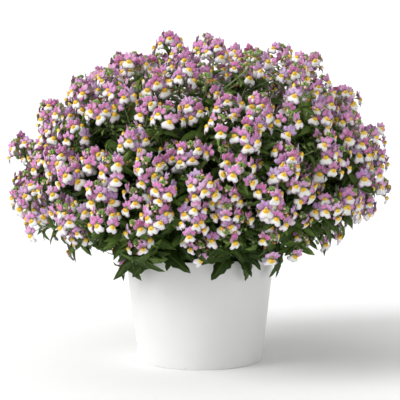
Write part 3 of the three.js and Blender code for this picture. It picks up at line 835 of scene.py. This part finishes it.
for i, turn in enumerate(shoot_turns):
    draw = random.Random(SHOOT_SEED + i)
    angle = (i + 0.5) * math.tau / SHOOTS + SHOOT_SCATTER * turn
    out = Vector((math.cos(angle), math.sin(angle), 0))
    foot = SHOOT_RING_R * out + SOIL_TOP * UP
    way = bezier([foot + MM * far * out + MM * high * UP for far, high in SHOOT_PATH])
    bm = plant_mesh()
    nodes = leaf_nodes(way, SHOOT_BARE, 1, RIM_SPACING)
    leaf_pairs(bm, nodes, leaves, draw, RIM_LEAVES, RIM_TONES, RIM_WIDTHS, RIM_LIFTS)
    stalk = [foot - SHOOT_ROOT * UP, *sampled(way, 0, 1, SHOOT_POINTS)]
    rods(bm, [tapered(stalk, BRANCH_R, SHOOT_END_R)], roundness=1)
    piece(f"leafy_rim_shoot_{i + 1:02d}", bm, LEAFY, f"rim_shoot_{i + 1:02d}")

# Flowers
# Each branch ends in a spray of racemes. A flower has four rounded upper lobes in pink or lilac, a broad
# white lower lip in two lobes, and between them the golden raised palate. Green buds crowd the tip.
MORE_SEED = 7
MORE_PLAN_SEED = 31
MORE_HEADS = (140, 46)
MORE_SINKS = ((-9 * MM, 12 * MM), (18 * MM, 50 * MM))
MORE_END = math.radians(103)
MORE_TRIES = 60
MORE_SCATTER = 0.05
LEAN = 30 * MM
LEAN_MID = 0.25
SHOULDER = 12 * MM
SPRAY_SEED = 300
STALK_POINTS = 9
STALK_LEAVES = (66 * MM, 22 * MM)
STALK_LEAVES_FROM = SPRAY_AT + 0.03
STALK_LEAVES_TO = 0.97
STALK_SPACING = 8.5 * MM
STALK_TONES = (0.45, 1)
PEDICEL_R = 0.4 * MM
PEDICEL_BEND = 0.55
PEDICEL_BOW = 1 * MM
RACHIS_R = 0.9 * MM
RACHIS_END_R = 0.7 * RACHIS_R
RACHIS = (-6 * MM, 17 * MM)
FLOWERS = (7, 9)
MORE_FLOWERS = (4, 7)
LOW_FLOWERS = (3, 4)
LOW = -0.18
SPENT = 2
SPENT_SHARE = 0.07
FLOWER_SEED = 40
FLOWER_KINDS = 10
FLOWERS_ALONG = (-6 * MM, 11 * MM)
FLOWER_REACH = (14 * MM, 9 * MM)
REACHES = (0.8, 1.2)
FLOWER_RISES = (0.25, 0.6)
FLOWER_SIZES = (0.88, 1.16)
TOP_SMALLER = 0.15
FACE_OUT = 0.8
FACE_TILTS = (-0.2, 0.2)
FACE_LEVEL = 0.5
TOP_ALONG = 0.5
TOP_TOUSLE = 0.85
AGE_BY_PLACE = 0.3
AGE_BY_CHANCE = 0.7
PETAL_THICK = 0.5 * MM
THROAT = 1 * MM
LOBES = ((18, 9.4 * MM, 6.3 * MM), (66, 8.8 * MM, 6.9 * MM))
LOBE_TURNS = (-9, 9)
LOBE_SIZES = (0.86, 1.12)
LOBE_CURLS = (-0.5 * MM, 4 * MM)
LOBE_ROUND = 0.27
LOBE_RISE = 0.16
LOBE_CUP = 0.14
LIP_LENGTHS = (9.2 * MM, 11.2 * MM)
LIP_WIDTHS = (13.4 * MM, 16.9 * MM)
LIP_FLARES = (0.2, 1.8)
LIP_CLEFTS = (0.02, 0.3)
LIP_SKEWS = (-0.16, 0.16)
LIP_ROUND = 0.36
LIP_SHELF = 4.2 * MM
LIP_FALL = 3.4 * MM
LIP_FALL_FROM = 0.4
LIP_RUFFLE = 0.5 * MM
LIP_BOW = 1.4 * MM
LIP_BELOW = 0.4 * MM
LIP_ABOVE = 0.6 * MM
PALATE_AT = (0, -2.1 * MM, 3.5 * MM)
PALATE_RADII = (3.4 * MM, 2.7 * MM, 2.3 * MM)
CALYX_FOOT_R = 0.5 * MM
CALYX_R = 1.9 * MM
CALYX_LENGTH = 4.6 * MM
CALYX_BACK = 1.2 * MM
CALYX_FOOT = 3 * MM
BUD_AT = (0, 0.45, 0)
BUD_RADII = (0.34, 0.5, 0.34)
CREAM_BUDS = 3
CREAM_AT = 13 * MM
CREAM_STEP = 1 * MM
CREAM_OUT = 2 * MM
CREAM_RISES = (0.4, 1.2)
CREAM_SIZES = (4 * MM, 6 * MM)
CREAM_TONES = (0.8, 1)
GREEN_BUDS = 11
GREEN_AT = 15.5 * MM
GREEN_OUT = 1.6 * MM
GREEN_SPREAD = 1.35
GREEN_SIZES = (3.4 * MM, 4.8 * MM)
GREEN_TONES = (0, 0.5)
CAPSULES = (5, 10)
CAPSULES_AT = (0.88, 0.99)
SPENT_CAPSULES = 16
SPENT_CAPSULES_AT = (-3 * MM, 14 * MM)
CAPSULE_RISE = 0.5
CAPSULE_STALKS = (5 * MM, 8 * MM)
CAPSULE_SIZES = (4 * MM, 5.5 * MM)
CAPSULE_WIDTH = 1.3
CAPSULE_TONES = (0, 0.4)
WILTED_SHARE = 0.16
WILTED_TONE = 2.0
PINK = (0.6, 0.18, 0.45)
PINK_DEEP = (0.36, 0.06, 0.22)
PINK_YOUNG = (0.52, 0.075, 0.27)
LILAC = (0.42, 0.22, 0.5)
LILAC_PALE = (0.64, 0.5, 0.68)
PETAL_PALE = (0.76, 0.56, 0.72)
LIP_WHITE = (0.755, 0.76, 0.765)
LIP_CREAM = (0.78, 0.76, 0.45)
LIP_YELLOW = (0.82, 0.6, 0.08)
LIP_BLUSH = (0.68, 0.45, 0.68)
GOLD = (0.82, 0.58, 0.01)
ORANGE = (0.66, 0.25, 0.006)
GROOVE_BROWN = (0.14, 0.035, 0.008)
BUD_GREEN = (0.11, 0.2, 0.04)
BUD_LIME = (0.27, 0.38, 0.1)
BUD_CREAM = (0.78, 0.7, 0.42)
BUD_PINK = (0.7, 0.34, 0.45)
WILTED = (0.42, 0.15, 0.04)
PETAL, LIP, PALATE, BUD = 3, 4, 5, 6

petal_pink, tree, shader = new_finish(
    "petal_pink",
    roughness=0.6,
    subsurface_weight=0.15,
    subsurface_radius=(2 * MM, 0.8 * MM, 1.2 * MM),
    sheen_weight=0.2,
)
tone = tone_of(tree)
across, along = across_and_along(tree)
base = mixed(tree, rising(tree, tone, 0.0, 0.3), PINK_YOUNG, PINK)
base = mixed(tree, rising(tree, tone, 0.5, 0.9), base, LILAC)
# Towards the throat the lobes darken to a deeper colour: the petals' own deeper base, and painted shade in
# the throat.
deep = mixed(tree, tone, PINK_DEEP, LILAC)
colour = mixed(tree, rising(tree, along, 0.0, 0.45), deep, base)
edge = sums(tree, "MAXIMUM", rising(tree, across, 0.55, 1.0), rising(tree, along, 0.75, 1.0))
pale = mixed(tree, tone, PETAL_PALE, LILAC_PALE)
colour = mixed(tree, product(tree, edge, 0.6), colour, pale)
spot = on_object(tree)
shade = mottle(tree, spot, scale=70.0)
washed = rising(tree, shade, 0.5, 0.62)
colour = mixed(tree, product(tree, washed, 0.5), colour, pale)
strong = fading(tree, shade, 0.36, 0.48)
colour = mixed(tree, product(tree, strong, 0.55), colour, PINK_YOUNG)
# Small pale patches across the petals, mixed towards the pale colour: a painted sheen.
painted_sheen = rising(tree, mottle(tree, spot, scale=420.0), 0.45, 0.7)
colour = mixed(tree, product(tree, painted_sheen, 0.4), colour, pale)
ribs = sums(tree, "SINE", product(tree, across, 16.0))
paint(tree, shader, colour, normal=bumped(tree, ribs, strength=0.25, distance=0.2 * MM))

lip_white, tree, shader = new_finish(
    "lip_white",
    roughness=0.55,
    subsurface_weight=0.2,
    subsurface_radius=(2 * MM, 1.8 * MM, 1.5 * MM),
    sheen_weight=0.15,
)
tone = tone_of(tree)
across, along = across_and_along(tree)
from_throat = sums(tree, "ADD", along, product(tree, across, 0.2))
colour = mixed(tree, rising(tree, from_throat, 0.14, 0.38), LIP_YELLOW, LIP_CREAM)
colour = mixed(tree, rising(tree, from_throat, 0.34, 0.72), colour, LIP_WHITE)
edge = sums(tree, "MAXIMUM", rising(tree, across, 0.5, 1.0), rising(tree, along, 0.72, 1.0))
blush = product(tree, edge, rising(tree, tone, 0.05, 0.75))
colour = mixed(tree, product(tree, blush, 0.75), colour, LIP_BLUSH)
ribs = sums(tree, "SINE", product(tree, across, 14.0))
paint(tree, shader, colour, normal=bumped(tree, ribs, strength=0.15, distance=0.2 * MM))

palate_gold, tree, shader = new_finish(
    "palate_gold",
    roughness=0.5,
    subsurface_weight=0.1,
    subsurface_radius=(1.5 * MM, 0.8 * MM, 0.2 * MM),
    sheen_weight=0.2,
)
across, along = across_and_along(tree)
velvet = mottle(tree, on_object(tree), scale=1500.0)
middle = fading(tree, across, 0.1, 0.65)
ripe = sums(tree, "MULTIPLY_ADD", tone_of(tree), 0.2, product(tree, middle, 0.55))
warm = mixed(tree, ripe, GOLD, ORANGE)
# A thin dark brown line along the palate's top, at the throat: the palate's own dark marking, and painted
# shade in the throat's opening.
groove = product(tree, rising(tree, along, 0.86, 0.97), 0.85)
colour = mixed(tree, groove, warm, GROOVE_BROWN)
paint(tree, shader, colour, normal=bumped(tree, velvet, strength=0.5, distance=0.2 * MM))

bud_green, tree, shader = new_finish(
    "bud_green",
    roughness=0.55,
    subsurface_weight=0.1,
    subsurface_radius=(1 * MM, 1.5 * MM, 0.4 * MM),
)
tone = tone_of(tree)
across, along = across_and_along(tree)
green = mixed(tree, mottle(tree, on_object(tree), scale=400.0), BUD_GREEN, BUD_LIME)
cream = mixed(tree, rising(tree, along, 0.4, 1.0), BUD_CREAM, BUD_PINK)
fresh = mixed(tree, rising(tree, tone, 0.6, 0.75), green, cream)
paint(tree, shader, mixed(tree, rising(tree, tone, 1.2, 1.8), fresh, WILTED))
FLOWERY = [*LEAFY, petal_pink, lip_white, palate_gold, bud_green]


def upper_lobe(lean, length, width, curl):
    """An upper lobe from the throat: obovate, round-ended and bent back at its tip."""
    turn = Matrix.Rotation(lean, 3, "Z")

    def place(u, t):
        half = width / 2 * (0.4 + 1.55 * t - 1.25 * t**3)
        flat = Vector((u * half, length * (t - LOBE_ROUND * u * u * t * t), 0))
        rise = THROAT + length * LOBE_RISE * t - curl * t * t - LOBE_CUP * width * u * u * t
        return turn @ (flat + Vector((0, THROAT, 0))) + Vector((0, 0, rise))

    return place


def lower_lip(length, width, flare, cleft, skew):
    """The lip: out under the palate, then down and spreading in two lobes with a cleft between them."""

    def place(u, t):
        half = width / 2 * (0.38 + 1.3 * t - 0.65 * t * t)
        off_lobe = 2 * abs(u) - 1
        short = (cleft if off_lobe < 0 else LIP_ROUND) * off_lobe**2
        shelf = LIP_SHELF * math.sin(min(1.0, t * 2.1) * math.pi / 2)
        out = shelf - LIP_FALL * max(0.0, t - LIP_FALL_FROM) * flare
        ruffle = LIP_RUFFLE * math.cos(math.tau * u) * t * t
        down = length * (t - short * t * t) * (1 + skew * u)
        return Vector((u * half, -LIP_BELOW - down, LIP_ABOVE + out - LIP_BOW * u * u + ruffle))

    return place


def egg(bm, centre, radii, material, around, along):
    """Adds an egg shape, with its UVs laid along its Y."""
    matrix = Matrix.Translation(centre) @ Matrix.Diagonal((*radii, 1))
    made = bmesh.ops.create_uvsphere(bm, u_segments=around, v_segments=along, radius=1, matrix=matrix)
    uv = bm.loops.layers.uv["UVMap"]
    for face in {face for vert in made["verts"] for face in vert.link_faces}:
        face.smooth = True
        face.material_index = material
        for loop in face.loops:
            place = loop.vert.co - Vector(centre)
            loop[uv].uv = (0.5 + place.x / radii[0] / 2, 0.5 + place.y / radii[1] / 2)


def flower_template(seed):
    """A flower to copy: its throat at the origin, its top along Y and its face along Z."""
    draw = random.Random(FLOWER_SEED + seed)
    bm = plant_mesh()
    for lean, length, width in LOBES:
        for side in (1, -1):
            angle = math.radians(side * (lean + draw.uniform(*LOBE_TURNS)))
            size = draw.uniform(*LOBE_SIZES)
            lobe = upper_lobe(angle, length * size, width * size, draw.uniform(*LOBE_CURLS))
            blade(bm, 3, 3, PETAL_THICK, PETAL, PETAL, lobe)
    width = draw.uniform(*LIP_WIDTHS)
    flare, cleft, skew = [draw.uniform(*limits) for limits in (LIP_FLARES, LIP_CLEFTS, LIP_SKEWS)]
    lip = lower_lip(draw.uniform(*LIP_LENGTHS), width, flare, cleft, skew)
    blade(bm, 6, 4, PETAL_THICK, LIP, LIP, lip)
    egg(bm, PALATE_AT, PALATE_RADII, PALATE, 10, 5)
    calyx = bmesh.ops.create_cone(
        bm,
        cap_ends=True,
        segments=5,
        radius1=CALYX_FOOT_R,
        radius2=CALYX_R,
        depth=CALYX_LENGTH,
        matrix=Matrix.Translation((0, 0, -CALYX_BACK)),
    )
    for face in {face for vert in calyx["verts"] for face in vert.link_faces}:
        face.material_index = BUD
    return mesh_of("flower", bm)


def bud_template():
    """A bud to copy, of length 1 along Y."""
    bm = plant_mesh()
    egg(bm, BUD_AT, BUD_RADII, BUD, 5, 3)
    return mesh_of("bud", bm)


def put_bud(bm, place, ahead, above, size, tone, width=1.0):
    put(bm, bud, set_at(place, ahead, above, (size * width, size, size)), tone)


def open_flowers(bm, head, count, draw):
    """Adds a head's open flowers, in a spiral from its foot up, and gives the paths of their stalks."""
    axis = head["axis"]
    paths = []
    for i in range(count):
        share = i / (count - 1)
        out = square_to(axis, head["twist"] * math.tau + i * GOLDEN_ANGLE)
        root = head["base"] + axis * between(FLOWERS_ALONG, share)
        reach = between(FLOWER_REACH, share) * draw.uniform(*REACHES)
        throat = root + out * reach + axis * reach * draw.uniform(*FLOWER_RISES)
        facing = blend((1, out), (FACE_OUT, head["direction"]), (draw.uniform(*FACE_TILTS), axis))
        facing.z *= FACE_LEVEL
        tousled = Vector([draw.uniform(-1, 1) for _ in range(3)])
        top = TOP_ALONG * axis + UP + TOP_TOUSLE * tousled
        above = (top - top.dot(facing) * facing).normalized()
        scale = draw.uniform(*FLOWER_SIZES) * (1 - TOP_SMALLER * share)
        age = AGE_BY_PLACE * (1 - share) + AGE_BY_CHANCE * draw.random()
        put(bm, draw.choice(flowers), set_at(throat, above, facing, (scale, scale, scale)), age)
        bend = root.lerp(throat, PEDICEL_BEND) + axis * PEDICEL_BOW
        behind = throat - facing * CALYX_FOOT * scale
        paths.append([(point, PEDICEL_R) for point in (root, bend, behind)])
    return paths


def cream_buds(bm, head, count, draw):
    """Adds the buds next to open, which follow the flowers in their spiral."""
    axis = head["axis"]
    for i in range(CREAM_BUDS):
        out = square_to(axis, head["twist"] * math.tau + (i + count) * GOLDEN_ANGLE)
        root = head["base"] + axis * (CREAM_AT + i * CREAM_STEP)
        ahead = blend((1, out), (draw.uniform(*CREAM_RISES), axis))
        size = draw.uniform(*CREAM_SIZES)
        put_bud(bm, root + ahead * CREAM_OUT, ahead, axis, size, draw.uniform(*CREAM_TONES))


def green_buds(bm, head, draw):
    """Adds the young buds, crowded in a tuft on the tip."""
    axis = head["axis"]
    for i in range(GREEN_BUDS):
        lean = GREEN_SPREAD * math.sqrt((i + 0.5) / GREEN_BUDS)
        out = square_to(axis, i * GOLDEN_ANGLE)
        ahead = blend((math.cos(lean), axis), (math.sin(lean), out))
        root = head["base"] + axis * GREEN_AT + ahead * GREEN_OUT
        size = draw.uniform(*GREEN_SIZES)
        put_bud(bm, root, ahead, out, size, draw.uniform(*GREEN_TONES))


def capsules(bm, head, stalk, spent, draw):
    """Adds the seed capsules of past flowers, a few of them wilted, and gives the paths of their stalks.

    They sit below the flowers, and all along the head when it is spent.
    """
    axis = head["axis"]
    paths = []
    for _ in range(SPENT_CAPSULES if spent else draw.randint(*CAPSULES)):
        out = square_to(axis, draw.uniform(0, math.tau))
        if spent:
            root = head["base"] + axis * draw.uniform(*SPENT_CAPSULES_AT)
        else:
            root = stalk(draw.uniform(*CAPSULES_AT))
        end = root + blend((1, out), (CAPSULE_RISE, axis)) * draw.uniform(*CAPSULE_STALKS)
        paths.append([(root, PEDICEL_R), (end, PEDICEL_R)])
        size = draw.uniform(*CAPSULE_SIZES)
        tone = WILTED_TONE if draw.random() < WILTED_SHARE else draw.uniform(*CAPSULE_TONES)
        put_bud(bm, end, end - root, axis, size, tone, CAPSULE_WIDTH)
    return paths


def raceme(bm, head, stalk, count, draw):
    """Adds one flower head, and gives the paths of all its stalks."""
    paths = open_flowers(bm, head, count, draw)
    cream_buds(bm, head, count, draw)
    green_buds(bm, head, draw)
    paths += capsules(bm, head, stalk, count == SPENT, draw)
    rachis = [head["base"] + head["axis"] * far for far in RACHIS]
    return [*paths, tapered(rachis, RACHIS_R, RACHIS_END_R)]


def flowers_on(head, draw):
    """How many flowers are open on a head. Low and added heads have fewer, and some are nearly over."""
    if head["direction"].z < LOW:
        count = draw.randint(*LOW_FLOWERS)
    else:
        count = draw.randint(*(MORE_FLOWERS if "more" in head else FLOWERS))
    return SPENT if "more" in head and draw.random() < SPENT_SHARE else count


draw = random.Random(MORE_SEED)
more_draws = numbers(MORE_PLAN_SEED)
directions = [head["direction"] for head in heads]
for number, sinks in zip(MORE_HEADS, MORE_SINKS):
    for _ in range(number):
        tries = []
        for _ in range(MORE_TRIES):
            cosine = 1 - (1 - math.cos(MORE_END)) * draw.random()
            tries.append(direction_at(cosine, draw.uniform(0, math.tau)))
        gap = min(tries, key=lambda one: max(one.dot(other) for other in directions))
        out = LEAN * gap.x * (gap.z - LEAN_MID) + SHOULDER * gap.z * gap.xy.length
        head = new_head(gap, more_draws, MORE_SCATTER, draw.uniform(*sinks) - out)
        head["more"] = True
        directions.append(head["direction"])
        spray = sprays[nearest(head["direction"], spray_directions)]
        give_way(head, stems[spray["stem"]])
        spray["heads"].append(head)

flowers = [flower_template(seed) for seed in range(FLOWER_KINDS)]
bud = bud_template()
for i, spray in enumerate(sprays):
    draw = random.Random(SPRAY_SEED + i)
    bm = plant_mesh()
    paths = []
    leafy = []
    for k, head in enumerate(spray["heads"]):
        stalk = leaving(spray["middle"], head["way"], SPRAY_AT, 1.0)
        fork = SPRAY_AT - (1 + k) * FORK_STEP
        paths.append(tapered(sampled(stalk, fork, 1.0, STALK_POINTS), BRANCH_END_R, RACHIS_R))
        leafy += leaf_nodes(stalk, STALK_LEAVES_FROM, STALK_LEAVES_TO, STALK_SPACING)
        paths += raceme(bm, head, stalk, flowers_on(head, draw), draw)
    leaf_pairs(bm, leafy, small_leaves, draw, STALK_LEAVES, STALK_TONES)
    rods(bm, paths)
    piece(f"flowering_spray_{i + 1:02d}", bm, FLOWERY, f"spray_{i + 1:02d}")

# Stage
# A plain pale studio floor that turns up into a wall far away on all sides, soft light from above and the
# left, and a camera at the height and distance from which the plant is seen.
FLOOR_R = 7.0
FLOOR_STEPS = 64
COVE_R = 3.0
COVE_STEPS = 8
FLOOR_COLOUR = (0.9, 0.9, 0.9)
SKY_DIM = 0.12
SKY_LIT = 1.45
SKY_LIT_SIDE = (-0.85, -0.25)
SKY_RIM = 1.2
SKY_RIM_SIDE = (0.75, 0.66)
SUN_POWER = 2.0
SUN_WIDTH = math.radians(30)
SUN_LEAN = math.radians(55)
SUN_TURN = math.radians(-66)
LENS = 165.6
FILM_WIDTH = 36
LOOK_FROM = Vector((0, -2.2, 0.44))
LOOK_AT = Vector((0, 0, 0.193))

bm = bmesh.new()
bends = [math.pi / 2 * i / COVE_STEPS for i in range(1, COVE_STEPS + 1)]
cove = [(FLOOR_R + COVE_R * math.sin(bend), COVE_R * (1 - math.cos(bend))) for bend in bends]
turned(bm, [(0, 0), (FLOOR_R, 0), *cove], FLOOR_STEPS)
for face in bm.faces:
    face.smooth = True
floor_paint, tree, shader = new_finish("floor_paint", roughness=0.9)
shader.inputs["Base Color"].default_value = (*FLOOR_COLOUR, 1)
floor = new_object("studio_floor", mesh_of("studio_floor", bm))
floor.data.materials.append(floor_paint)
floor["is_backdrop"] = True

world = bpy.data.worlds.new("studio")
world.use_nodes = True
tree = world.node_tree
backdrop = tree.nodes["Background"]
around = node(tree, "ShaderNodeTexCoord").outputs["Generated"]
sky = node(tree, "ShaderNodeSeparateXYZ", {"Vector": around}).outputs


def towards_side(x, y):
    """How much a direction in the sky leans to one side of the studio."""
    return sums(tree, "ADD", product(tree, sky["X"], x), product(tree, sky["Y"], y))


lit = rising(tree, towards_side(*SKY_LIT_SIDE), -0.9, 0.9)
rim_lit = rising(tree, towards_side(*SKY_RIM_SIDE), 0.6, 0.95)
strength = sums(tree, "MULTIPLY_ADD", lit, SKY_LIT - SKY_DIM, SKY_DIM)
strength = sums(tree, "MULTIPLY_ADD", rim_lit, SKY_RIM, strength)
tree.links.new(strength, backdrop.inputs["Strength"])
backdrop.inputs["Color"].default_value = (1, 1, 1, 1)
bpy.context.scene.world = world
sun = bpy.data.lights.new("key", "SUN")
sun.energy = SUN_POWER
sun.angle = SUN_WIDTH
key = new_object("key", sun)
key.rotation_euler = (SUN_LEAN, 0, SUN_TURN)

lens = bpy.data.cameras.new("camera")
lens.lens = LENS
lens.sensor_width = FILM_WIDTH
camera = new_object("camera", lens)
camera.location = LOOK_FROM
camera.rotation_euler = (LOOK_AT - LOOK_FROM).to_track_quat("-Z", "Y").to_euler()
bpy.context.scene.camera = camera
bpy.context.scene.view_settings.view_transform = "Standard"

[[list(corner) for corner in box] for box in (cad_box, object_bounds())]
